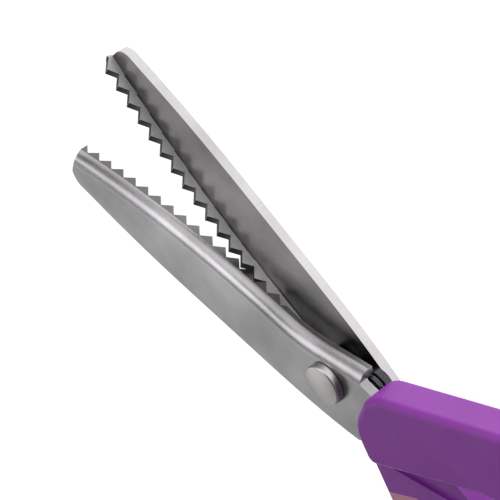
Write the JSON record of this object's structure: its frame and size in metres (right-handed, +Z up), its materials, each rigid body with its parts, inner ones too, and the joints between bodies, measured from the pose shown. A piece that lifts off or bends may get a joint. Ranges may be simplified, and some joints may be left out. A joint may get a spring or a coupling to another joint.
{
  "type": "pinking shears",
  "caption": "Pinking shears with pressed steel blades, zigzag cutting edges, a round pivot screw and moulded finger loops with soft grips.",
  "frame": {"origin": "where the pivot axis meets the surface the shears lie on, at the end face of the pivot screw", "axes": "+Z up along the pivot axis, +X from the pivot along the lower blade to the tips, +Y towards the lower handle"},
  "size_m": [0.236, 0.1437, 0.0178],
  "materials": {
    "stainless_sheet": "brushed along the blade, satin",
    "stainless_turned": "turned, satin",
    "purple_abs": "moulded, semi-gloss purple",
    "soft_grip": "moulded soft grip, matt dusty pink",
    "black_steel": "black oxide, oiled",
    "nylon": "black nylon, smooth"
  },
  "bodies": {
    "lower_half": {"lower_blade": "stainless_sheet", "lower_handle": "purple_abs", "lower_grip": "soft_grip", "pivot_screw": "stainless_turned", "pivot_bush": "stainless_turned", "lower_thrust_washer": "nylon", "pivot_spacer": "black_steel", "upper_thrust_washer": "nylon", "spring_washer": "stainless_turned", "pivot_nut": "stainless_turned"},
    "upper_half": {"upper_blade": "stainless_sheet", "upper_handle": "purple_abs", "upper_grip": "soft_grip", "guide_stud": "black_steel", "guide_pad": "nylon"}
  },
  "joints": [
    {"name": "pivot", "type": "hinge", "parent": "lower_half", "child": "upper_half", "pos_m": [0, 0, 0.0089], "axis": [0, 0, 1], "range_deg": [-21.5, 18]}
  ]
}
